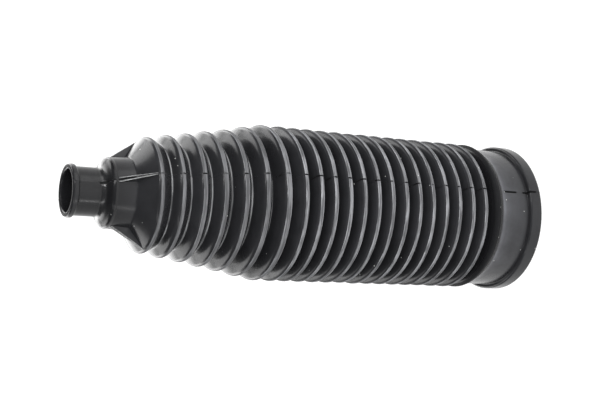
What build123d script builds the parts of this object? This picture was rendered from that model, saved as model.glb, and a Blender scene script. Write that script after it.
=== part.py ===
from build123d import *
from math import acos, atan2, cos, hypot, sin
import os

os.makedirs("parts", exist_ok=True)

# A bellows boot moulded in one piece from rubber: a folded sleeve that keeps dirt and water off a
# sliding rod. Its wide end is clamped over a housing and its narrow end over the rod.
# Z is the axis of the boot. The wide end stands on the plane z = 0 and the narrow end is on top.
# All sizes are in millimetres.

# section of every fold: an even wall, rounded tighter inside the crests than outside them
fold_wall = 1.1
root_radius = 0.5
rear_inner_radius = 0.2
front_inner_radius = 0.7

# rear folds: close together and all of one diameter
rear_crest_diameter = 58.4
rear_crest_count = 15
rear_pitch = 6.03
rear_fold_depth = 6.2

# front folds: further apart, and smaller toward the collar
first_crest_diameter = 42.0
front_crest_count = 7
front_pitch = 7.43
front_step = 7.1
first_fold_depth = 2.3
first_root_shift = 0.6
taper_sag = 0.35

# wide end: a plain cuff that carries the large clamp band, set back from the crests, and a thick
# end ring that stands out from the cuff
cuff_setback = 1.5
cuff_wall = 2.2
cuff_height = 17.2
cuff_root_radius = 1.5
cuff_bore_end = 2.2
last_flank_height = 3.9
flange_rise = 1.8
flange_thickness = 5.4
flange_edge_radius = 0.8
bore_edge_radius = 0.4

# narrow end: a tube with a bead at its mouth, on a wider collar with a rounded shoulder
small_bore_diameter = 15.1
tube_wall = 1.1
tube_length = 11.4
tube_root_radius = 2.6
lip_rise = 0.8
lip_land = 0.1
lip_width = 2.4
lip_edge_radius = 0.6
shoulder_height = 3.6
shoulder_rise = 0.45
shoulder_radius = 1.5
collar_diameter = 25.1
collar_wall = 1.6
collar_length = 6.1
collar_root_rise = 0.55
collar_root_radius = 0.8
first_flank_height = 6.7

# webs that brace the collar against the first fold, thinner toward its crest
web_count = 4
web_thickness = 1.8
web_tip_thickness = 0.7

# radii from the axis that follow from the sizes above
rear_crest = rear_crest_diameter / 2
first_crest = first_crest_diameter / 2
cuff = rear_crest - cuff_setback
large_bore = cuff - cuff_wall
flange = cuff + flange_rise
collar = collar_diameter / 2
small_bore = small_bore_diameter / 2
tube = small_bore + tube_wall
lip = tube + lip_rise
lip_radius = lip_rise - lip_land

# heights of the rings, from the wide end up
rear_heights = [cuff_height + last_flank_height + rear_pitch * i for i in range(rear_crest_count)]
front_heights = [rear_heights[-1] + front_step + front_pitch * i for i in range(front_crest_count)]
collar_bottom = front_heights[-1] + first_flank_height
collar_top = collar_bottom + collar_length
tube_bottom = collar_top + shoulder_height
boot_top = tube_bottom + tube_length

# Each ring of the folds is an arc round its own centre, kept as its peak's distance from the axis,
# its height, its radius on the outside, and 1 where it bulges out or -1 where it turns in.
OUT, IN = 1, -1


def between(start, end, share):
    """The value that lies at a share of the way from start to end."""
    return start + (end - start) * share


def crests():
    """The crest of each fold, from the wide end up."""
    rings = [(rear_crest, height, fold_wall + rear_inner_radius, OUT) for height in rear_heights]
    for i, height in enumerate(front_heights):
        share = i / (front_crest_count - 1)
        sag = 4 * taper_sag * share * (1 - share)
        peak = between(rear_crest, first_crest, share) - sag
        rings.append((peak, height, fold_wall + front_inner_radius, OUT))
    return rings


def roots(rings):
    """The root between each crest and the next, from the wide end up."""
    found = []
    for i, (lower, upper) in enumerate(zip(rings, rings[1:])):
        share = max(0, i + 1 - rear_crest_count) / (front_crest_count - 1)
        peak = between(rear_crest - rear_fold_depth, first_crest - first_fold_depth, share)
        found.append((peak, (lower[1] + upper[1]) / 2, root_radius, IN))
    peak, height, radius, side = found[-1]
    found[-1] = (peak, height - first_root_shift, radius, side)
    return found


def fold_rings():
    """All rings from the cuff to the collar, crests and roots in turn."""
    rings = [(cuff, cuff_height, cuff_root_radius, IN)]
    tops = crests()
    for crest, root in zip(tops, roots(tops)):
        rings += [crest, root]
    rings.append(tops[-1])
    rings.append((collar + collar_root_rise, collar_bottom, collar_root_radius, IN))
    return rings


def flank_ends(lower, upper, wall):
    """Ends of the straight flank that touches two rings, on the face a wall's depth inside."""
    ends = []
    for peak, height, radius, side in (lower, upper):
        ends.append((peak - side * radius, height, radius - side * wall, side))
    (ax, ay, a_radius, a_side), (bx, by, b_radius, b_side) = ends
    lean = atan2(by - ay, bx - ax) - a_side * acos((a_radius + b_radius) / hypot(bx - ax, by - ay))
    reach = (cos(lean), sin(lean))
    start = (ax + a_radius * reach[0], ay + a_radius * reach[1])
    return start, (bx - b_radius * reach[0], by - b_radius * reach[1])


def ring_point(ring, wall, flank_end):
    """Point of a ring's arc half-way between its peak and the end of its flank."""
    peak, height, radius, side = ring
    centre = peak - side * radius
    reach = radius - side * wall
    lean = atan2(flank_end[1] - height, (flank_end[0] - centre) * side)
    return (centre + side * reach * cos(lean / 2), height + reach * sin(lean / 2))


def draw_folds(wall):
    """Draw the section of the folds on the face that lies a wall's depth inside the outer one."""
    rings = fold_rings()
    point = (rings[0][0] - wall, rings[0][1])
    for lower, upper in zip(rings, rings[1:]):
        start, end = flank_ends(lower, upper, wall)
        if lower is rings[0]:
            middle = ring_point(lower, wall, start)
        else:
            middle = (lower[0] - wall, lower[1])
        ThreePointArc(point, middle, start)
        Line(start, end)
        point = end
    last = rings[-1]
    finish = (last[0] - wall, last[1])
    ThreePointArc(point, ring_point(last, wall, point), finish)
    return (rings[0][0] - wall, rings[0][1]), finish


with BuildPart() as bellows_boot:
    # the whole outside as one solid of revolution
    with BuildSketch(Plane.XZ):
        with BuildLine():
            low, high = draw_folds(0)
            FilletPolyline(
                high,
                (collar, collar_top),
                (collar + shoulder_rise, collar_top + shoulder_radius),
                (tube, tube_bottom),
                (tube, boot_top - lip_width),
                (lip, boot_top - lip_width),
                (lip, boot_top),
                (0, boot_top),
                (0, 0),
                (flange, 0),
                (flange, flange_thickness),
                (cuff, flange_thickness),
                low,
                radius=[
                    0, shoulder_radius, tube_root_radius, 0, lip_radius, lip_radius, 0, 0,
                    flange_edge_radius, flange_edge_radius, 0,
                ],
            )
        make_face()
    revolve(axis=Axis.Z)

    # flat webs on four sides, from the top of the collar down to the first crest
    peak, height, radius, side = crests()[-1]
    with BuildPart(mode=Mode.PRIVATE) as web:
        with BuildSketch(Plane.XZ):
            with BuildLine():
                Polyline(
                    (collar, collar_top),
                    (peak - radius / 2, height + radius),
                    (peak - radius, height),
                    (collar - collar_wall, collar_bottom),
                    (collar - collar_wall, collar_top),
                    close=True,
                )
            make_face()
        extrude(amount=web_thickness / 2, both=True)
        with BuildSketch(Plane.YZ):
            with BuildLine():
                Polyline(
                    (web_tip_thickness / 2, height),
                    (web_thickness / 2, collar_top),
                    (-web_thickness / 2, collar_top),
                    (-web_tip_thickness / 2, height),
                    close=True,
                )
            make_face()
        extrude(amount=peak, mode=Mode.INTERSECT)
    with PolarLocations(0, web_count):
        add(web.part)

    # the hollow, which leaves an even wall in the folds and thicker rings at both ends
    with BuildSketch(Plane.XZ):
        with BuildLine():
            low, high = draw_folds(fold_wall)
            Polyline(
                high,
                (collar - collar_wall, collar_bottom + collar_wall),
                (collar - collar_wall, collar_top),
                (small_bore, tube_bottom - collar_wall),
                (small_bore, boot_top),
                (0, boot_top),
                (0, 0),
                (large_bore, 0),
                (large_bore, cuff_height - cuff_bore_end),
                low,
            )
        make_face()
    revolve(axis=Axis.Z, mode=Mode.SUBTRACT)

    # softened inner edges at both mouths
    mouths = bellows_boot.edges().filter_by(GeomType.CIRCLE).group_by(Axis.Z)
    fillet(mouths[0].sort_by(SortBy.RADIUS)[0], radius=bore_edge_radius)
    fillet(mouths[-1].sort_by(SortBy.RADIUS)[0], radius=lip_edge_radius)

bellows_boot.part.label = "bellows_boot"
export_step(bellows_boot.part, "parts/bellows_boot.step")
print("bellows boot", bellows_boot.part.bounding_box().size, "volume", round(bellows_boot.part.volume))
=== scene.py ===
# %% [markdown]
# # A rubber bellows boot
# This lesson dresses a moulded rubber boot for a steering rack. The CAD model gives its true size
# and place. Here the skin is drawn again with what the mould and use left on it: a seam on two
# sides, four webs at the collar, softened edges and folds that are never quite even. Then it gets
# a rubber finish, a white floor, soft lights and a camera.
# The first lines load the CAD model as a fixed frame. Nothing in it is moved.

import math
import random

import bpy
import numpy as np
from mathutils import Matrix, Quaternion, Vector


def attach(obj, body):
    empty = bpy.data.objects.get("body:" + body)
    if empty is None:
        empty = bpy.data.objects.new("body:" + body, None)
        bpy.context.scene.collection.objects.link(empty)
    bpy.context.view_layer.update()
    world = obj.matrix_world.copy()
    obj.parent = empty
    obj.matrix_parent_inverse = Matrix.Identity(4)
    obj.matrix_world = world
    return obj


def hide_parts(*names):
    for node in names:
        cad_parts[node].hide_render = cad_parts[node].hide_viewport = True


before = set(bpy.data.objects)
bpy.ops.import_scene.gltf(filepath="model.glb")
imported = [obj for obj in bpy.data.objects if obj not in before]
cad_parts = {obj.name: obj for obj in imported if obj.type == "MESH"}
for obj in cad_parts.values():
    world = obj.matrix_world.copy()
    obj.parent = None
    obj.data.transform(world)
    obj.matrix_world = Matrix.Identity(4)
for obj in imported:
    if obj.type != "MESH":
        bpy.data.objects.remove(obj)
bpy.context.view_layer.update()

# %% [markdown]
# ## Sizes
# All sizes are in millimetres, as on the drawing of the boot, and become metres only when the mesh
# is made. Z is the axis. The wide end stands on the floor and the narrow end is on top.
# First come the folds, then the cuff and the end ring, then the tube and the collar with its webs.

# %% Sizes of the boot
MM = 0.001

fold_wall = 1.1
root_radius = 0.5
rear_inner_radius = 0.2
front_inner_radius = 0.7

rear_crest = 29.2
rear_crest_count = 15
rear_pitch = 6.03
rear_fold_depth = 6.2

first_crest = 21.0
front_crest_count = 7
front_pitch = 7.43
front_step = 7.1
first_fold_depth = 2.3
first_root_shift = 0.6
taper_sag = 0.35

cuff = 27.7
large_bore = 25.5
cuff_height = 17.2
cuff_root_radius = 1.5
cuff_bore_height = 15.0
last_flank_height = 3.9
flange = 29.5
flange_thickness = 5.4
flange_edge_radius = 0.8

small_bore = 7.55
tube = 8.65
tube_length = 11.4
tube_root_radius = 2.6
lip = 9.45
lip_width = 2.4
lip_radius = 0.7
shoulder_height = 3.6
shoulder_rise = 0.45
shoulder_radius = 1.5
collar = 12.55
collar_wall = 1.6
collar_length = 6.1
collar_root_rise = 0.55
collar_root_radius = 0.8
first_flank_height = 6.7
bore_edge_radius = 0.4
lip_edge_radius = 0.6
web_thickness = 1.8
web_tip_thickness = 0.7

rear_heights = [cuff_height + last_flank_height + rear_pitch * i for i in range(rear_crest_count)]
front_heights = [rear_heights[-1] + front_step + front_pitch * i for i in range(front_crest_count)]
collar_bottom = front_heights[-1] + first_flank_height
collar_top = collar_bottom + collar_length
tube_bottom = collar_top + shoulder_height
boot_top = tube_bottom + tube_length
print("boot:", round(boot_top, 2), "mm long,", 2 * flange, "mm across the end ring")

# %% [markdown]
# ## The section of the folds
# A bellows is the same small shape over and over: a round crest, a straight flank, a tight root
# and a flank back out. The section is cut through the axis, as points with a distance from the
# axis and a height. Each crest and root is an arc round its own centre, and a flank is the line
# that touches two arcs. The inside uses the same centres with the wall taken off, so the wall is
# even, as in the mould.

# %% Crests and roots
OUT, IN = 1, -1


def between(start, end, share):
    """The value that lies at a share of the way from start to end."""
    return start + (end - start) * share


def crests():
    """Peak, height, outer radius and side of each crest, from the wide end up."""
    rings = [(rear_crest, height, fold_wall + rear_inner_radius, OUT) for height in rear_heights]
    for i, height in enumerate(front_heights):
        share = i / (front_crest_count - 1)
        sag = 4 * taper_sag * share * (1 - share)
        peak = between(rear_crest, first_crest, share) - sag
        rings.append((peak, height, fold_wall + front_inner_radius, OUT))
    return rings


def roots(rings):
    """The root between each crest and the next."""
    found = []
    for i, (lower, upper) in enumerate(zip(rings, rings[1:])):
        share = max(0, i + 1 - rear_crest_count) / (front_crest_count - 1)
        peak = between(rear_crest - rear_fold_depth, first_crest - first_fold_depth, share)
        found.append((peak, (lower[1] + upper[1]) / 2, root_radius, IN))
    peak, height, radius, side = found[-1]
    found[-1] = (peak, height - first_root_shift, radius, side)
    return found


def fold_rings():
    """All rings from the cuff to the collar, crests and roots in turn."""
    rings = [(cuff, cuff_height, cuff_root_radius, IN)]
    tops = crests()
    for crest, root in zip(tops, roots(tops)):
        rings += [crest, root]
    rings.append(tops[-1])
    rings.append((collar + collar_root_rise, collar_bottom, collar_root_radius, IN))
    return rings


print("rings in the folds:", len(fold_rings()))

# %% [markdown]
# ## From rings to points
# Whoever cuts the mould draws it with a ruler and compasses, and so does this step. Small helpers
# turn the section into points: one finds the flank between two rings, one walks along an arc, one
# along a line, and one rounds the corners of a plain outline such as the lip or the end ring.

# %% Arcs, flanks and rounded corners


def flank_ends(lower, upper, wall):
    """Ends of the flank that touches two rings, on the face a wall's depth inside."""
    ends = []
    for peak, height, radius, side in (lower, upper):
        ends.append((peak - side * radius, height, radius - side * wall, side))
    (ax, ay, a_radius, a_side), (bx, by, b_radius, b_side) = ends
    apart = math.hypot(bx - ax, by - ay)
    lean = math.atan2(by - ay, bx - ax) - a_side * math.acos((a_radius + b_radius) / apart)
    reach = (math.cos(lean), math.sin(lean))
    start = (ax + a_radius * reach[0], ay + a_radius * reach[1])
    return start, (bx - b_radius * reach[0], by - b_radius * reach[1])


def arc_points(centre, start, end, steps):
    """Points along the short arc from start to end, both included."""
    first = math.atan2(start[1] - centre[1], start[0] - centre[0])
    turn = math.atan2(end[1] - centre[1], end[0] - centre[0]) - first
    turn = (turn + math.pi) % (2 * math.pi) - math.pi
    radius = math.dist(centre, start)
    angles = [first + turn * i / steps for i in range(steps + 1)]
    return [(centre[0] + radius * math.cos(a), centre[1] + radius * math.sin(a)) for a in angles]


def straight(start, end, steps):
    """Points along a line, without its two ends."""
    shares = [i / steps for i in range(1, steps)]
    return [(between(start[0], end[0], s), between(start[1], end[1], s)) for s in shares]


def rounded(corners, radii, steps):
    """The outline through the corners, with each inner corner rounded by its radius."""
    points = [corners[0]]
    for before, corner, after, radius in zip(corners, corners[1:], corners[2:], radii):
        into = (Vector(corner) - Vector(before)).normalized()
        out = (Vector(after) - Vector(corner)).normalized()
        half_turn = into.angle(out) / 2
        reach = radius * math.tan(half_turn)
        start, end = Vector(corner) - into * reach, Vector(corner) + out * reach
        centre = Vector(corner) + (out - into).normalized() * radius / math.cos(half_turn)
        points += arc_points(tuple(centre), tuple(start), tuple(end), steps)
    points.append(corners[-1])
    return points


rear_flank = flank_ends(fold_rings()[1], fold_rings()[2], 0)
print("a rear flank is", round(math.dist(*rear_flank), 2), "mm long")

# %% [markdown]
# ## The folds as points
# In the mould, every fold is one ring cut beside the last. So one loop walks from ring to ring:
# over each by an arc, and on to the next by a straight flank. The crests get the most points,
# because the light shows on them, and the hidden inside gets few.

# %% The folds, outside and inside


def draw_folds(wall, crest_steps, root_steps, flank_steps):
    """Section of the folds from the cuff to the collar, on the face a wall's depth inside."""
    rings = fold_rings()
    first, last = rings[0], rings[-1]
    point = (first[0] - wall, first[1])
    points = []
    for lower, upper in zip(rings, rings[1:]):
        start, end = flank_ends(lower, upper, wall)
        centre = (lower[0] - lower[3] * lower[2], lower[1])
        points += arc_points(centre, point, start, crest_steps if lower[3] == OUT else root_steps)
        points += straight(start, end, flank_steps)
        point = end
    centre = (last[0] - last[3] * last[2], last[1])
    return points + arc_points(centre, point, (last[0] - wall, last[1]), root_steps)


outer_folds = draw_folds(0, 8, 4, 3)
inner_folds = draw_folds(fold_wall, 3, 4, 1)
print("points in the folds:", len(outer_folds), "outside,", len(inner_folds), "inside")

# %% [markdown]
# ## The whole outline
# Below the folds come the end ring and the cuff for the large clamp. Above them come the collar
# with its rounded shoulder and the tube with a bead at its mouth. A mould leaves no inner corner
# quite sharp, so even the corners that the drawing leaves plain get a small fillet. Long straight
# runs get extra points, so that the seam can rise and fall along them.

# %% Outer and inner outline
cuff_fillet, shoulder_fillet, lip_fillet = 0.25, 0.3, 0.15
fine_step, plain_step, inner_step = 0.7, 1.2, 5


def refine(points, longest):
    """The same outline with no step longer than the given length."""
    fine = [points[0]]
    for start, end in zip(points, points[1:]):
        steps = max(1, math.ceil(math.dist(start, end) / longest))
        fine += straight(start, end, steps) + [end]
    return fine


wide_end = rounded(
    [
        (large_bore, bore_edge_radius * 2), (large_bore, 0), (flange, 0),
        (flange, flange_thickness), (cuff, flange_thickness), (cuff, cuff_height),
    ],
    [bore_edge_radius, flange_edge_radius, flange_edge_radius, cuff_fillet],
    5,
)[1:-1]
narrow_end = rounded(
    [
        (collar + collar_root_rise, collar_bottom), (collar, collar_top),
        (collar + shoulder_rise, collar_top + shoulder_radius), (tube, tube_bottom),
        (tube, boot_top - lip_width), (lip, boot_top - lip_width), (lip, boot_top),
        (small_bore, boot_top), (small_bore, boot_top - 2 * lip_edge_radius),
    ],
    [
        shoulder_fillet, shoulder_radius, tube_root_radius, lip_fillet, lip_radius, lip_radius,
        lip_edge_radius,
    ],
    6,
)[1:-1]
cuff_side = refine(wide_end + [outer_folds[0]], plain_step)[:-1]
collar_side = refine([outer_folds[-1], narrow_end[0]], fine_step)[1:-1]
outer_outline = cuff_side + outer_folds + collar_side + refine(narrow_end, plain_step)

cuff_bore = [(large_bore, bore_edge_radius * 2), (large_bore, cuff_bore_height)]
inner_outline = refine(cuff_bore, inner_step) + inner_folds + [
    (collar - collar_wall, collar_bottom + collar_wall), (collar - collar_wall, collar_top),
    (small_bore, tube_bottom - collar_wall), (small_bore, boot_top - 2 * lip_edge_radius),
]
print("points in the outline:", len(outer_outline), "outside,", len(inner_outline), "inside")

# %% [markdown]
# ## Columns round the axis
# Turning the outline gives the boot, but the webs and the seam need sharp detail at four places.
# So the columns of the mesh aren't spread evenly. Next to each web they keep a fixed distance from
# its middle plane: three follow the seam, four the edge of the web and three its foot. In between
# they share out the rest of the turn evenly.

# %% Columns
FAR = 10.0
web_half = web_thickness / 2
web_edge = 0.25
web_foot = 0.35
seam_offsets = [0.12, 0.24, 0.45]
edge_offsets = [web_half - web_edge, web_half - 0.07, web_half, web_half + 0.03]
foot_offsets = [web_half + 0.35 * web_foot, web_half + web_foot, 1.75]
side_offsets = seam_offsets + edge_offsets + foot_offsets
columns_between = 18
per_web = 2 * len(side_offsets) + 1
per_quarter = per_web + columns_between
column_count = 4 * per_quarter


def column_angles(column, radius, width):
    """Angle of a column about the axis for each row, and its distance from the nearest web."""
    quarter, place = divmod(column, per_quarter)
    offsets = [-o for o in reversed(side_offsets)] + [0.0] + side_offsets
    base = quarter * math.pi / 2
    if place < per_web:
        offset = offsets[place] * width
        return base + np.arcsin(offset / radius), offset
    edge = np.arcsin(side_offsets[-1] * width / radius)
    share = (place - per_web + 1) / (columns_between + 1)
    return base + edge + (math.pi / 2 - 2 * edge) * share, np.full(len(radius), FAR)


print("columns:", column_count)

# %% [markdown]
# ## The line of a web
# Four thin webs brace the collar against the first fold. On the outline each is a straight line
# from the top of the collar that touches the first crest. Every point of the outline that lies
# under that line gets its place on it, and the difference is how far a web stands out there. A web
# is thick at the collar and thin at the crest, so the columns beside it draw together as it runs
# down, and spread again beyond both its ends.

# %% Web line
outline = np.array(outer_outline)
spread_below, spread_above = 8, 2


def nearest_row(radius, height):
    """Row of the outline that is nearest to a radius and height."""
    return int(np.argmin(np.hypot(outline[:, 0] - radius, outline[:, 1] - height)))


crest_end, collar_end = flank_ends(crests()[-1], (collar, collar_top, 0, IN), 0)
first_row, last_row = nearest_row(*crest_end), nearest_row(*collar_end)
under_web = slice(first_row, last_row + 1)
steps = np.hypot(*np.diff(outline[under_web], axis=0).T)
share = np.concatenate([[0], np.cumsum(steps)]) / steps.sum()
web_line = outline.copy()
web_line[under_web] = outline[first_row] + (outline[last_row] - outline[first_row]) * share[:, None]
pull = web_line - outline
web_depth = np.hypot(*pull.T)

tip = web_tip_thickness / web_thickness
first_height = front_heights[-1]
width_heights = [first_height - spread_below, first_height, collar_top, collar_top + spread_above]
web_width = np.interp(web_line[:, 1], width_heights, [1, tip, 1, 1])
print("rows under the webs:", last_row - first_row, "deepest", round(web_depth.max(), 2), "mm")

# %% [markdown]
# ## The form of a web
# A web of rubber is never sharp. The mould rounds its two upper edges and leaves a small fillet
# where it grows out of the collar. One function says how far the skin is pulled out at a distance
# from the web's middle plane: by its whole depth on top, less where the edge is rounded, and
# beside the web only by the fillet.

# %% Pull a web out
NEXT_TO_NOTHING = 1e-6


def web_lift(offset, depth, half):
    """How far the skin stands out on or beside a web of this depth and half width."""
    edge = np.minimum(np.minimum(web_edge, 0.6 * half), depth / 2)
    foot = np.minimum(web_foot, depth / 2)
    away = abs(offset)
    top = np.maximum(away - half + edge, 0)
    on_top = depth - edge + np.sqrt(np.maximum(edge**2 - top**2, 0))
    low = np.clip(half + foot - away, 0, foot)
    fillet = foot - np.sqrt(np.maximum(foot**2 - low**2, 0))
    return np.where(away <= half + NEXT_TO_NOTHING, on_top, fillet)


middle_lift = web_lift(np.zeros(len(outline)), web_depth, web_half * web_width)
print("highest web:", round(float(middle_lift.max()), 2), "mm")

# %% [markdown]
# ## Places on a fold
# The finish of the rubber changes from the bottom of a fold to its top, so the mesh carries three
# measures. The land is the narrow band on top of a fold, rubbed matt by all it touches; its pale
# colour is partly that wear and partly a painted highlight. Its measure is the distance from the
# nearest crest as a share of the band's width on that side. The grey and painted shading says how
# grey the rubber is painted between the lands, from the deepest roots to the cuff: painted shade
# in the roots and in the corner where the cuff meets the end ring, and painted light on the cuff
# just under the last fold, where its shadow falls. The root is the distance from the nearest root.
# The lowest crest, beside the cuff, has no land.

# %% Land, grey and painted shading, and root
track = np.concatenate([[0], np.cumsum(np.hypot(*np.diff(outline, axis=0).T))])
lower_lands = [0.85] * (rear_crest_count - 1) + [1.2, 0.9, 0.9, 0.9, 0.8, 0.7, 0.65]
upper_lands = [0.62] * (rear_crest_count - 1) + [0.85, 0.75, 0.7, 0.7, 0.65, 0.55, 0.5]
dull_reach, dull_land = 2.4, 1.8

deepest, palest = 0.009, 0.2
end_ring_grey = 0.022
# painted shade: the roots are painted darker than the crests
rear_greys = {OUT: 0.032, IN: deepest}
front_greys = {OUT: 0.022, IN: 0.016}
front_start = front_heights[0] - 5


def track_at(radius, height):
    """Distance along the outline of its point nearest to a radius and height."""
    return track[nearest_row(radius, height)]


# painted shading along the outline: painted shade in the roots and in the corner where the cuff
# meets the end ring, painted light on the cuff just under the last fold
zones = [
    (flange, 0, end_ring_grey), (flange, flange_thickness, end_ring_grey),
    (cuff + 0.6, flange_thickness, end_ring_grey), (cuff, flange_thickness, deepest),
    (cuff, flange_thickness + 0.5, 0.022), (cuff, flange_thickness + 3, 0.036),
    (cuff, cuff_height - 6, 0.044), (cuff, cuff_height - 3, 0.054),
    (cuff, cuff_height - 1.5, 0.075), (cuff, cuff_height + 0.2, 0.12),
    (cuff + 0.7, cuff_height + 1.9, 0.01), (rear_crest, rear_heights[0], 0.01),
]
for peak, height, radius, side in fold_rings()[2:-1]:
    zones.append((peak, height, (rear_greys if height < front_start else front_greys)[side]))
zones += [
    (collar + collar_root_rise, collar_bottom, 0.018), (collar, collar_top, 0.01),
    (tube, boot_top - 4, 0.007), (lip, boot_top - 1, 0.015),
]
grey_and_painted_shading = np.interp(track, [track_at(r, h) for r, h, value in zones], [zone[2] for zone in zones])
grey_and_painted_shading = (grey_and_painted_shading - deepest) / (palest - deepest)

root_track = [track_at(peak, height) for peak, height, radius, side in roots(crests())]
root = np.min([abs(track - place) for place in root_track], axis=0)

crest_track = [track_at(peak, height) for peak, height, radius, side in crests()]
land = np.min([
    np.where(track < place, (place - track) / lower, (track - place) / upper)
    for place, lower, upper in zip(crest_track[1:], lower_lands, upper_lands)
], axis=0)
land = np.where(abs(track - crest_track[0]) < dull_reach, dull_land, land)
print("land rows:", int((land < 1).sum()), "of", len(outline))

# %% [markdown]
# ## Seam
# The two halves of the mould met on the front and the back. There a fine line of flash was left.
# It is torn off here and there, mostly on the crests, along the webs, on the cuff and at the foot
# of the tube, which leaves small nicks that look black. A noise along the line decides where it
# broke. Next to the foot of the tube the rubber has kept its polish, and that is measured here too.

# %% Torn seam
rng = random.Random(7)
seam_noise = np.array([rng.uniform(0, 1) for _ in range(len(outline))])
seam_noise = np.convolve(seam_noise, [0.25, 0.5, 0.25], "same")
broken = np.clip((seam_noise - 0.44) * 8, 0, 1)
heights = outline[:, 1]
ridge_width, notch_width = 0.16, 0.22


def bell(distance, width):
    """1 where the distance is 0, and next to nothing from twice the width on."""
    return np.exp(-((distance / width) ** 2))


on_crest = np.clip(1.6 - land, 0, 1)
on_web = (web_depth > 0.3).astype(float)
on_cuff = ((heights < cuff_height) & (heights > 0.5)).astype(float)
on_cuff = on_cuff * np.interp(heights, [1.5, 2.5, 7, 8.5, 10, 11], [0, 1, 1, 0, 0, 1])
above_shoulder = heights > collar_top + 0.6
at_tube_root = bell(heights - tube_bottom - 0.4, 1.6) * above_shoulder
polish = bell(heights - tube_bottom - 0.4, 0.8) * above_shoulder
scratched_folds = [front_heights[0]] + [rear_heights[i] for i in (1, 2, 4, 6, 7, 9, 10, 12, 13)]
scratched = sum(bell(heights - h - 1.6, 1.2) for h in scratched_folds)
tear = np.maximum.reduce([
    on_crest * np.clip(broken + 0.5, 0, 1), on_web * np.clip(broken + 0.3, 0, 1), on_cuff,
    scratched * np.clip(broken + 0.4, 0, 1), at_tube_root,
])
flash_height = 0.08 + 0.1 * seam_noise
nick_depth = 0.45 * on_crest * tear + 0.2 * on_web * tear + 0.3 * on_cuff * tear
nick_depth = nick_depth + 0.4 * at_tube_root
seam_width = 1 + 0.6 * on_cuff + 1.4 * at_tube_root + on_web * (1.3 * web_width - 1)


def seam_lift(offset):
    """Height of the seam at a distance from its plane: a fine ridge, torn away in places."""
    ridge = flash_height * (1 - tear) * bell(offset, ridge_width)
    return ridge - nick_depth * bell(offset, notch_width)


print("torn rows:", int((tear > 0.5).sum()))

# %% [markdown]
# ## Uneven folds
# Rubber comes out of the mould hot and soft, so no fold is quite like the next. Each is made a
# little wider or narrower, a little oval, and shifted and tilted along the axis, all by its own
# small amount. Toward the cuff and the collar, which are stiffer, this fades away.

# %% Unevenness
swell, oval, shift, sway = 0.08, 0.07, 0.12, 0.12
fade_length = 6
crest_tops = np.array([c[1] for c in crests()])
wander = np.array([rng.uniform(-1, 1) for _ in range(4 * len(crest_tops))]).reshape(-1, 4)


def unevenness(height, angle):
    """Small shift of the folds outward and along the axis, for each point of a column."""
    fold = np.interp(height, crest_tops, np.arange(len(crest_tops)))
    low = np.floor(fold).astype(int)
    high = np.minimum(low + 1, len(crest_tops) - 1)
    mix = wander[low] + (wander[high] - wander[low]) * (fold - low)[:, None]
    from_cuff = np.clip((height - cuff_height) / fade_length, 0, 1)
    fade = from_cuff * np.clip((collar_bottom - height) / fade_length, 0, 1)
    out = swell * mix[:, 0] + oval * mix[:, 1] * np.cos(2 * angle + 3 * mix[:, 2])
    along = shift * mix[:, 2] + sway * mix[:, 3] * np.sin(angle + 3 * mix[:, 1])
    return fade * out, fade * along


print("folds:", len(crest_tops))

# %% [markdown]
# ## Roll the section round the axis
# A mould turns one section into the whole boot, and so does this step. Each column takes the
# outline, pulls it out where it crosses a web, adds the seam on the two sides that have one, and
# turns it to its angle. The inner skin gets half as many columns, because only its mouth is ever
# seen. Last, the uneven folds are held inside the drawing: nothing stands out beyond the end ring
# or above the lip.

# %% Outer and inner columns
tangent = np.gradient(outline, axis=0)
tangent /= np.hypot(*tangent.T)[:, None]
outward = np.stack([tangent[:, 1], -tangent[:, 0]], 1)
rows_below_webs = 60
near_webs = slice(first_row - rows_below_webs, last_row)
hold_back = 0.01


def turned(section, angle):
    """A column's points in space, from its section and its angles."""
    out, along = unevenness(section[:, 1], angle)
    radius = section[:, 0] + out
    return np.stack([radius * np.cos(angle), radius * np.sin(angle), section[:, 1] + along], 1)


# The pale web edges are a painted highlight; this strip says where it lies.
def edge_highlight_strip(inset):
    """1 in a narrow strip just inside a web's edge, as long as the web stands out there."""
    strip = np.clip(inset / 0.06, 0, 1) * np.clip((0.3 - inset) / 0.08, 0, 1)
    return strip * np.clip(web_depth / 0.2 - 0.2, 0, 1)


def outer_column(column):
    """Points of one outer column, how far each is from the seam, and the painted highlight of a
    web's edge.
    """
    offset = column_angles(column, outline[:, 0], web_width)[1]
    half = web_half * web_width
    lift = np.where(web_depth > NEXT_TO_NOTHING, web_lift(offset, web_depth, half), 0)
    section = outline + pull * (lift / np.maximum(web_depth, NEXT_TO_NOTHING))[:, None]
    away = np.full(len(outline), FAR)
    if (column // per_quarter) % 2 == 1:
        section = section + outward * seam_lift(offset)[:, None]
        away = abs(offset) / seam_width
    angle = column_angles(column, section[:, 0], web_width)[0]
    return turned(section, angle), away, edge_highlight_strip(half - abs(offset))


def inner_column(column):
    """Points of one column of the inner skin."""
    section = np.array(inner_outline)
    width = np.interp(section[:, 1], outline[near_webs, 1], web_width[near_webs])
    return turned(section, column_angles(column, section[:, 0], width)[0])


outer_columns = [outer_column(c) for c in range(column_count)]
outer_points, seam_away, web_edge_highlights = (np.stack(part, 1) for part in zip(*outer_columns))
inner_points = np.stack([inner_column(c) for c in range(0, column_count, 2)], 1)
outer_points[..., 2] = np.clip(outer_points[..., 2], 0, boot_top)
reach = np.hypot(outer_points[..., 0], outer_points[..., 1])
outer_points[..., :2] *= np.minimum(1, (flange - hold_back) / reach)[..., None]
print("outer points", outer_points.shape, "inner points", inner_points.shape)

# %% [markdown]
# ## One closed skin
# The boot is one wall of rubber with an outside and an inside, so the mesh is closed too. The
# outer skin has twice the columns of the inner one. At both mouths two outer faces meet one inner
# face, and a row of triangles joins them.

# %% Build the mesh


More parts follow.
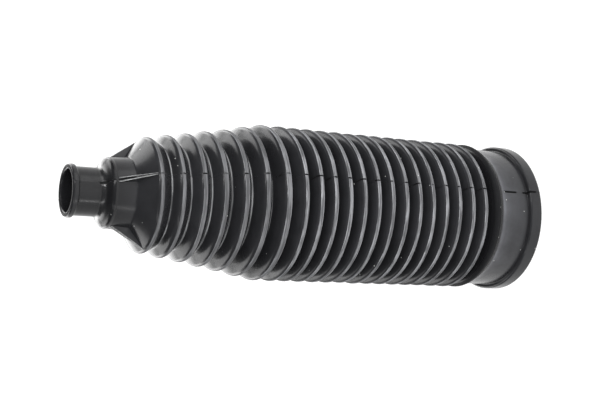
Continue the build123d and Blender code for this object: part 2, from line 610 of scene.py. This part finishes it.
def skin_faces():
    """Faces of the outer skin, the inner skin, and the two mouths that join them."""
    outer_rows, inner_rows, half = len(outer_points), len(inner_points), column_count // 2
    start = outer_rows * column_count
    faces = []
    for row in range(outer_rows - 1):
        low, high = row * column_count, (row + 1) * column_count
        for c in range(column_count):
            n = (c + 1) % column_count
            faces.append((low + c, low + n, high + n, high + c))
    for row in range(inner_rows - 1):
        low, high = start + row * half, start + (row + 1) * half
        for c in range(half):
            n = (c + 1) % half
            faces.append((low + n, low + c, high + c, high + n))
    top, inner_top = (outer_rows - 1) * column_count, start + (inner_rows - 1) * half
    for c in range(half):
        a, b, d, n = 2 * c, 2 * c + 1, (2 * c + 2) % column_count, (c + 1) % half
        faces += [(b, a, start + c), (b, start + c, start + n), (d, b, start + n)]
        faces += [
            (top + a, top + b, inner_top + c), (top + b, inner_top + n, inner_top + c),
            (top + b, top + d, inner_top + n),
        ]
    return faces


def build_skin():
    """The boot as one closed mesh, outer and inner skin together."""
    points = np.concatenate([outer_points.reshape(-1, 3), inner_points.reshape(-1, 3)]) * MM
    mesh = bpy.data.meshes.new("boot_skin")
    mesh.from_pydata(points.tolist(), [], skin_faces())
    mesh.polygons.foreach_set("use_smooth", [True] * len(mesh.polygons))
    mesh.update()
    piece = bpy.data.objects.new("boot_skin", mesh)
    bpy.context.scene.collection.objects.link(piece)
    return piece


boot_skin = build_skin()
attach(boot_skin, "root")
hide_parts("bellows_boot")
triangles = sum(len(p.vertices) - 2 for p in boot_skin.data.polygons)
print("boot skin:", len(boot_skin.data.vertices), "points,", triangles, "triangles")

# %% [markdown]
# ## Measures for the finish
# Wear and painted light follow the form: the crests are rubbed and carry painted highlights, the
# roots carry painted shade and, on the front folds, a painted highlight line, the web edges carry
# a painted highlight and the seam is torn. So the measures made above are stored on the points of
# the skin, where the material can read them.
# The inside takes no wear, so it gets the value that means none.

# %% Store the measures
inner_count = inner_points.shape[0] * inner_points.shape[1]


def mark(name, outer_values, inner_value):
    """Store a measure on every point of the skin, for the material to read."""
    values = np.concatenate([np.ravel(outer_values), np.full(inner_count, inner_value)])
    measure = boot_skin.data.attributes.new(name, "FLOAT", "POINT")
    measure.data.foreach_set("value", values.astype(np.float32))


mark("land", np.repeat(land, column_count), FAR)
mark("grey_and_painted_shading", np.repeat(grey_and_painted_shading, column_count), 0.0)
mark("seam", seam_away, FAR)
mark("tear", np.repeat(tear, column_count), 0.0)
mark("root", np.repeat(root, column_count), FAR)
mark("edge_highlight_mask", web_edge_highlights, 0.0)
mark("polish", np.repeat(polish, column_count), 0.0)
print("attributes on the skin:", len(boot_skin.data.attributes))

# %% [markdown]
# ## Ways to place nodes
# A finish that changes from place to place takes many nodes, and most of them do the same few
# things: read a measure, make a noise, turn a range of values into another, and mix two colours.
# Each of those gets one short name here, so that the material below reads like a recipe.

# %% Node helpers


class Nodes:
    """Short ways to place the nodes of one material."""

    def __init__(self, name):
        self.material = bpy.data.materials.new(name)
        self.material.use_nodes = True
        self.tree = self.material.node_tree
        self.surface = self.tree.nodes["Principled BSDF"]
        self.place = self.add("ShaderNodeTexCoord").outputs["Object"]

    def add(self, kind, **settings):
        """A new node of a kind, with its settings."""
        node = self.tree.nodes.new(kind)
        for name, value in settings.items():
            setattr(node, name, value)
        return node

    def link(self, start, end):
        """Join an output to an input."""
        self.tree.links.new(start, end)

    def feed(self, socket, value):
        """Give a socket a fixed value, or join an output to it."""
        if isinstance(value, (int, float, tuple)):
            socket.default_value = value
        else:
            self.link(value, socket)

    def measure(self, name):
        """A measure stored on the mesh."""
        return self.add("ShaderNodeAttribute", attribute_name=name).outputs["Fac"]

    def stretched(self, across, along):
        """Object coordinates scaled across the axis and along it."""
        node = self.add("ShaderNodeMapping")
        node.inputs["Scale"].default_value = (across, across, along)
        self.link(self.place, node.inputs["Vector"])
        return node.outputs["Vector"]

    def noise(self, vector, scale, detail, roughness):
        """Soft noise with the given number of waves in a metre."""
        node = self.add("ShaderNodeTexNoise")
        node.inputs["Scale"].default_value = scale
        node.inputs["Detail"].default_value = detail
        node.inputs["Roughness"].default_value = roughness
        self.link(vector, node.inputs["Vector"])
        return node.outputs["Fac"]

    def ramp(self, source, low, high, start, end):
        """Start up to low, end from high on, and a straight line in between."""
        node = self.add("ShaderNodeMapRange")
        ends = (("From Min", low), ("From Max", high), ("To Min", start), ("To Max", end))
        for socket, value in ends:
            node.inputs[socket].default_value = value
        self.link(source, node.inputs["Value"])
        return node.outputs["Result"]

    def maths(self, operation, *values):
        """The result of a sum on values or outputs."""
        node = self.add("ShaderNodeMath", operation=operation)
        for socket, value in zip(node.inputs, values):
            self.feed(socket, value)
        return node.outputs["Value"]

    def blend(self, mask, low, high):
        """Colour low where the mask is 0, high where it is 1."""
        node = self.add("ShaderNodeMix", data_type="RGBA")
        self.link(mask, node.inputs["Factor"])
        self.feed(node.inputs["A"], low)
        self.feed(node.inputs["B"], high)
        return node.outputs["Result"]


rubber = Nodes("moulded_rubber")
print("material:", rubber.material.name)

# %% [markdown]
# ## Noises of the rubber
# Nothing on a used boot has a ruled border. Five noises break up what the measures say: bloom is
# the cloudy film that comes out of rubber with age, fine is its grain, streak is the fine lines
# round the boot, which a brush or a turned mould leaves, patch frays the edges of the pale lands
# and of the painted highlights on the web edges, and cloud thins them out over a longer way. The
# finish also differs between the rear folds and the front ones, so one more measure goes from 0
# to 1 where they meet.

# %% Noises and the change from rear to front
rear_until, front_from = 0.106, 0.118

bloom = rubber.noise(rubber.place, 60, 4, 0.6)
fine = rubber.noise(rubber.place, 2600, 3, 0.55)
streak = rubber.noise(rubber.stretched(0.05, 1), 2000, 2, 0.5)
patch = rubber.noise(rubber.place, 900, 3, 0.6)
cloud = rubber.noise(rubber.place, 170, 2, 0.5)

up = rubber.add("ShaderNodeSeparateXYZ")
rubber.link(rubber.place, up.inputs["Vector"])
front = rubber.ramp(up.outputs["Z"], rear_until, front_from, 0, 1)
frayed_land = rubber.maths("MULTIPLY_ADD", patch, 0.24, rubber.measure("land"))
print("rubber nodes so far:", len(rubber.tree.nodes))

# %% [markdown]
# ## Colour of the rubber
# Moulded rubber is nearly black. Between the lands the colour carries painted shading: painted
# shade makes it blackest deep in the folds and greyer toward the crests, with a band of painted
# shade along the lands, and painted light lifts the cuff under the last fold. The lands on top are
# pale, partly from wear and partly as a painted highlight, with painted highlights at their rims
# and fine dark lines that run round the boot. The edges of the webs and the roots of the front
# folds carry pale painted highlights. The torn seam is black, and a few specks of dust lie on
# everything. The colour is built up in that order, each layer over the last, with a mask that says
# where it lies.

# %% Colour


def grey(value, blue=1.1):
    """A grey with a trace of blue."""
    return (value * 0.985, value, value * blue, 1)


bloom_grey, painted_shade_beside_land = grey(0.01), grey(0.02)
# lands: pale from wear and partly a painted highlight; their rims: a painted highlight
rear_land_wear_and_highlight, front_land_wear_and_highlight = grey(0.245, 1.05), grey(0.14, 1.05)
rear_rim_highlight, front_rim_highlight = grey(0.45, 1.05), grey(0.245, 1.05)
line_grey, cloud_grey = grey(0.05, 1.05), grey(0.06, 1.05)
web_edge_highlight_grey, root_highlight_grey, torn_black = grey(0.35, 1.0), grey(0.28, 1.03), grey(0.003)
speck_size, speck_edge, speck_share, speck_grey = 0.075, 0.05, 0.24, grey(0.5, 0.97)


def flank_colour(n):
    """Painted shading between the lands, black to grey, with bloom, and a band of painted shade
    along the lands.
    """
    # painted shading: black in the roots, greyer toward the crests, lifted by painted light on the
    # cuff under the last fold
    colour = n.blend(n.measure("grey_and_painted_shading"), grey(deepest), grey(palest))
    colour = n.blend(n.ramp(bloom, 0.42, 0.62, 0, 0.45), colour, bloom_grey)
    # a band of painted shade just outside each land, where the flank turns into the crest
    shade_band = n.maths("MULTIPLY", n.ramp(frayed_land, 1.6, 1.45, 0, 1), 0.6)
    return n.blend(shade_band, colour, painted_shade_beside_land)


def land_wear_and_highlight(n):
    """Pale bands, partly rubbed wear and partly painted highlight, with painted highlights at their
    rims, fine lines and worn places.
    """
    # the land is partly wear and partly a painted highlight, and its rim is a brighter painted
    # highlight
    middle = n.blend(front, rear_land_wear_and_highlight, front_land_wear_and_highlight)
    rim = n.blend(front, rear_rim_highlight, front_rim_highlight)
    colour = n.blend(n.ramp(n.measure("land"), 0.72, 0.9, 0, 1), middle, rim)
    colour = n.blend(n.ramp(streak, 0.46, 0.58, 0.0, 0.75), colour, line_grey)
    return n.blend(n.ramp(cloud, 0.4, 0.62, 0.0, 0.35), colour, cloud_grey)


def with_painted_highlights(n, colour):
    """The colour with painted highlights along the edges of the webs and in the roots of the front
    folds.
    """
    # painted highlight along the edges of the webs
    edge_lit = n.maths("MULTIPLY", n.measure("edge_highlight_mask"), n.ramp(patch, 0.35, 0.6, 0.5, 1))
    colour = n.blend(edge_lit, colour, web_edge_highlight_grey)
    # a painted highlight line in the roots of the front folds
    in_root = n.ramp(n.measure("root"), 0.4, 0.15, 0, 1)
    root_lit = n.maths("MULTIPLY", in_root, n.ramp(streak, 0.4, 0.6, 0.2, 0.9))
    return n.blend(n.maths("MULTIPLY", root_lit, front), colour, root_highlight_grey)


def with_specks(n, colour):
    """The colour with a speck of dust in some of the cells of a fine foam."""
    dust = n.add("ShaderNodeTexVoronoi")
    dust.inputs["Scale"].default_value = 300
    n.link(n.place, dust.inputs["Vector"])
    chosen = n.add("ShaderNodeSeparateColor")
    n.link(dust.outputs["Color"], chosen.inputs["Color"])
    dusted = n.ramp(chosen.outputs["Red"], 1 - speck_share, 1.02 - speck_share, 0, 1)
    near = n.ramp(dust.outputs["Distance"], speck_size, speck_edge, 0, 1)
    return n.blend(n.maths("MULTIPLY", near, dusted), colour, speck_grey)


on_seam = rubber.ramp(rubber.measure("seam"), 0.34, 0.2, 0, 1)
torn = rubber.maths("MULTIPLY", on_seam, rubber.ramp(rubber.measure("tear"), 0.25, 0.6, 0, 1))
on_land = rubber.ramp(frayed_land, 1.18, 1.08, 0, 1)
colour = rubber.blend(on_land, flank_colour(rubber), land_wear_and_highlight(rubber))
colour = with_painted_highlights(rubber, colour)
colour = rubber.blend(torn, colour, torn_black)
colour = with_specks(rubber, colour)
rubber.link(colour, rubber.surface.inputs["Base Color"])
print("rubber nodes so far:", len(rubber.tree.nodes))

# %% [markdown]
# ## Gloss and grain
# New rubber has a soft satin gloss. It is gone on the rubbed lands, beside them on the rear folds,
# and where the seam is torn. It has stayed strongest at the foot of the tube, where nothing rubs.
# A faint grain and the fine lines round the boot break up what the surface mirrors.

# %% Gloss, roughness and bump
land_roughness, beside_roughness, torn_roughness = 0.58, 0.52, 0.95
satin_low, satin_high = 0.2, 0.26
plain_gloss, beside_gloss = 0.3, 0.3
grain_strength, grain_depth = 0.12, 0.0001

matt_land = rubber.ramp(frayed_land, 1.18, 1.06, 0, land_roughness)
rear = rubber.ramp(front, 0, 1, 1, 0)
beside = rubber.maths("MULTIPLY", rubber.ramp(frayed_land, 3.0, 2.2, 0, beside_roughness), rear)
matt = rubber.maths("MAXIMUM", matt_land, rubber.maths("MULTIPLY", torn, torn_roughness))
matt = rubber.maths("MAXIMUM", matt, beside)
satin_noise = rubber.noise(rubber.place, 420, 5, 0.65)
satin = rubber.ramp(satin_noise, 0.3, 0.7, satin_low, satin_high)
rubber.link(rubber.maths("MAXIMUM", satin, matt), rubber.surface.inputs["Roughness"])

gloss = rubber.ramp(rubber.measure("polish"), 0.1, 0.7, plain_gloss, 1)
gloss = rubber.maths("MULTIPLY", gloss, rubber.ramp(beside, 0, 0.5, 1, beside_gloss))
rubber.link(gloss, rubber.surface.inputs["Specular IOR Level"])

bump = rubber.add("ShaderNodeBump")
bump.inputs["Strength"].default_value = grain_strength
bump.inputs["Distance"].default_value = grain_depth
rubber.link(rubber.maths("MULTIPLY_ADD", fine, 0.5, streak), bump.inputs["Height"])
rubber.link(bump.outputs["Normal"], rubber.surface.inputs["Normal"])
boot_skin.data.materials.append(rubber.material)
print("rubber nodes:", len(rubber.tree.nodes))

# %% [markdown]
# ## Floor
# The floor is plain white paper. What the camera and mirror images see of it glows by itself, and
# a diffuse part on top keeps the shadow of the boot. For the light that it throws back on the boot
# it is only a pale diffuse sheet, so the boot isn't lit from below by a lamp.

# %% Floor
paper, shadow_grey, glow_strength = 0.8, 0.3, 0.9
floor_reach = 6.0
just_below = -0.00005


def white_floor():
    """White that reads as white by itself and still takes a shadow."""
    material = bpy.data.materials.new("white_floor")
    material.use_nodes = True
    nodes, links = material.node_tree.nodes, material.node_tree.links
    nodes.clear()
    out = nodes.new("ShaderNodeOutputMaterial")
    lit = nodes.new("ShaderNodeBsdfDiffuse")
    lit.inputs["Color"].default_value = (shadow_grey, shadow_grey, shadow_grey, 1)
    plain = nodes.new("ShaderNodeBsdfDiffuse")
    plain.inputs["Color"].default_value = (paper, paper, paper, 1)
    glow = nodes.new("ShaderNodeEmission")
    glow.inputs["Strength"].default_value = glow_strength
    both = nodes.new("ShaderNodeAddShader")
    path = nodes.new("ShaderNodeLightPath")
    seen = nodes.new("ShaderNodeMath")
    seen.operation = "MAXIMUM"
    clear = nodes.new("ShaderNodeMath")
    clear.operation = "MAXIMUM"
    mix = nodes.new("ShaderNodeMixShader")
    links.new(path.outputs["Is Camera Ray"], seen.inputs[0])
    links.new(path.outputs["Is Glossy Ray"], seen.inputs[1])
    links.new(seen.outputs[0], clear.inputs[0])
    links.new(path.outputs["Is Transmission Ray"], clear.inputs[1])
    links.new(lit.outputs[0], both.inputs[0])
    links.new(glow.outputs[0], both.inputs[1])
    links.new(clear.outputs[0], mix.inputs[0])
    links.new(plain.outputs[0], mix.inputs[1])
    links.new(both.outputs[0], mix.inputs[2])
    links.new(mix.outputs[0], out.inputs["Surface"])
    return material


floor_mesh = bpy.data.meshes.new("floor")
sides = [(-1, -1), (1, -1), (1, 1), (-1, 1)]
floor_corners = [(x * floor_reach, y * floor_reach, 0) for x, y in sides]
floor_mesh.from_pydata(floor_corners, [], [(0, 1, 2, 3)])
floor_mesh.materials.append(white_floor())
floor = bpy.data.objects.new("floor", floor_mesh)
floor.location.z = just_below
bpy.context.scene.collection.objects.link(floor)
print("floor", 2 * floor_reach, "m across")

# %% [markdown]
# ## Backdrop
# Behind the boot stands a low curved white wall, like a bent sheet of paper. The camera doesn't
# see it, because it looks down on the floor, but the sides of the folds do, and its reflection
# draws their round lobes.

# %% Backdrop
camera_side = math.radians(-112.7)
wall_reach, wall_height, wall_turn = 1.5, 0.6, math.radians(62)
wall_steps = 32

wall_points, wall_faces = [], []
for i in range(wall_steps + 1):
    angle = camera_side + math.pi + between(-wall_turn, wall_turn, i / wall_steps)
    x, y = wall_reach * math.cos(angle), wall_reach * math.sin(angle)
    wall_points += [(x, y, 0), (x, y, wall_height)]
    if i < wall_steps:
        wall_faces.append((2 * i, 2 * i + 2, 2 * i + 3, 2 * i + 1))
wall_mesh = bpy.data.meshes.new("backdrop")
wall_mesh.from_pydata(wall_points, [], wall_faces)
wall_mesh.materials.append(floor_mesh.materials[0])
backdrop = bpy.data.objects.new("backdrop", wall_mesh)
bpy.context.scene.collection.objects.link(backdrop)
print("backdrop", wall_height, "m high, at", wall_reach, "m")

# %% [markdown]
# ## Light
# Black rubber shows its form by what it mirrors, so most lights here have a mirror image to draw.
# Two tall strips in front draw streaks on the sides of the folds. Two small cards, low and close,
# draw the two bright lines along the tube. A side light fills the left. Three soft panels on each
# side behind the boot are mirrored in the round ends of the folds. The plain light that shows the
# colours comes from the middle and from high up, and those two are kept out of mirror images. The
# room stays dim, which keeps the depths of the folds dark.
# Each light is placed by its turn from the camera's side and its elevation, both in degrees, and
# its distance, width and height in metres. A tilt turns it about the line to the boot.

# %% Lights and world
aim_height = 0.09
room_grey = 0.12


def soft_light(name, turn, elevation, distance, width, height, brightness, tilt=0):
    """A soft rectangle of light that faces the boot. Brightness 1 is as bright as white paper."""
    data = bpy.data.lights.new(name, "AREA")
    data.shape = "RECTANGLE"
    data.size, data.size_y = width, height
    data.energy = brightness * math.pi * width * height
    lamp = bpy.data.objects.new(name, data)
    azimuth, lift = camera_side + math.radians(turn), math.radians(elevation)
    level = math.cos(lift)
    way = Vector((math.cos(azimuth) * level, math.sin(azimuth) * level, math.sin(lift)))
    lamp.location = Vector((0, 0, aim_height)) + way * distance
    facing = way.to_track_quat("Z", "Y") @ Quaternion((0, 0, 1), math.radians(tilt))
    lamp.rotation_euler = facing.to_euler()
    lamp.visible_camera = False
    bpy.context.scene.collection.objects.link(lamp)
    print(name, [round(v, 2) for v in lamp.location])
    return lamp


strip = {"elevation": 30, "distance": 0.9, "height": 0.95}
soft_light("left_strip", 42, width=0.09, brightness=12, **strip)
soft_light("right_strip", -46, width=0.07, brightness=4, **strip)

card = {"elevation": 1.6, "distance": 0.28, "height": 0.035}
soft_light("left_card", 60, width=0.17, brightness=1.6, **card)
soft_light("right_card", -43, width=0.025, brightness=10, **card)

soft_light("side_light", 68, 10, 1.0, width=0.4, height=0.7, brightness=1.2)
middle_light = soft_light("middle_light", 6, 22, 0.9, width=0.3, height=0.4, brightness=16)
high_light = soft_light("high_light", 8, 55, 0.9, width=0.6, height=0.34, brightness=2.6)
middle_light.visible_glossy = high_light.visible_glossy = False

rim_low = {"elevation": 5, "distance": 1.1, "width": 0.44, "height": 0.5}
rim_high = {"elevation": 33, "distance": 1.1, "width": 0.46, "height": 0.6}
rim_side = {"elevation": 5, "distance": 1.1, "width": 0.34, "height": 0.42}
for name, side, low, high in (("left", 1, 2.9, 3.7), ("right", -1, 2.5, 3.2)):
    soft_light(name + "_rim_low", side * 158, brightness=low, tilt=side * 30, **rim_low)
    soft_light(name + "_rim_high", side * 138, brightness=high, tilt=side * 37, **rim_high)
    soft_light(name + "_rim_side", side * 138, brightness=3.2, **rim_side)

world = bpy.data.worlds.new("room")
world.use_nodes = True
background = world.node_tree.nodes["Background"]
background.inputs["Color"].default_value = (room_grey, room_grey, room_grey, 1)
bpy.context.scene.world = world
bpy.context.scene.view_settings.view_transform = "Standard"

# %% [markdown]
# ## Camera
# The boot was photographed lying down, from the side of its narrow end. Ours stands, so the camera
# lies on its side too: its right points down and its top points sideways. It is then turned a
# little toward the wide end.

# %% Camera
camera_distance, camera_height = 390.3, 296.5
camera_yaw, camera_pitch, camera_roll = -0.4799, -0.0022, 0.0647
film_width, focal_length = 36, 69

on_its_side = Matrix(((0, 1, 0), (0, 0, -1), (-1, 0, 0)))
round_boot = Matrix.Rotation(camera_side + math.pi / 2, 3, "Z")
aim = round_boot @ on_its_side @ Matrix.Rotation(camera_yaw, 3, "Y")
aim = aim @ Matrix.Rotation(camera_pitch, 3, "X") @ Matrix.Rotation(camera_roll, 3, "Z")
place = round_boot @ Vector((0, -camera_distance * MM, camera_height * MM))

camera_data = bpy.data.cameras.new("camera")
camera_data.sensor_width = film_width
camera_data.lens = focal_length
camera = bpy.data.objects.new("camera", camera_data)
camera.matrix_world = Matrix.Translation(place) @ aim.to_4x4()
bpy.context.scene.collection.objects.link(camera)
bpy.context.scene.camera = camera
print("camera at", [round(v, 3) for v in place])
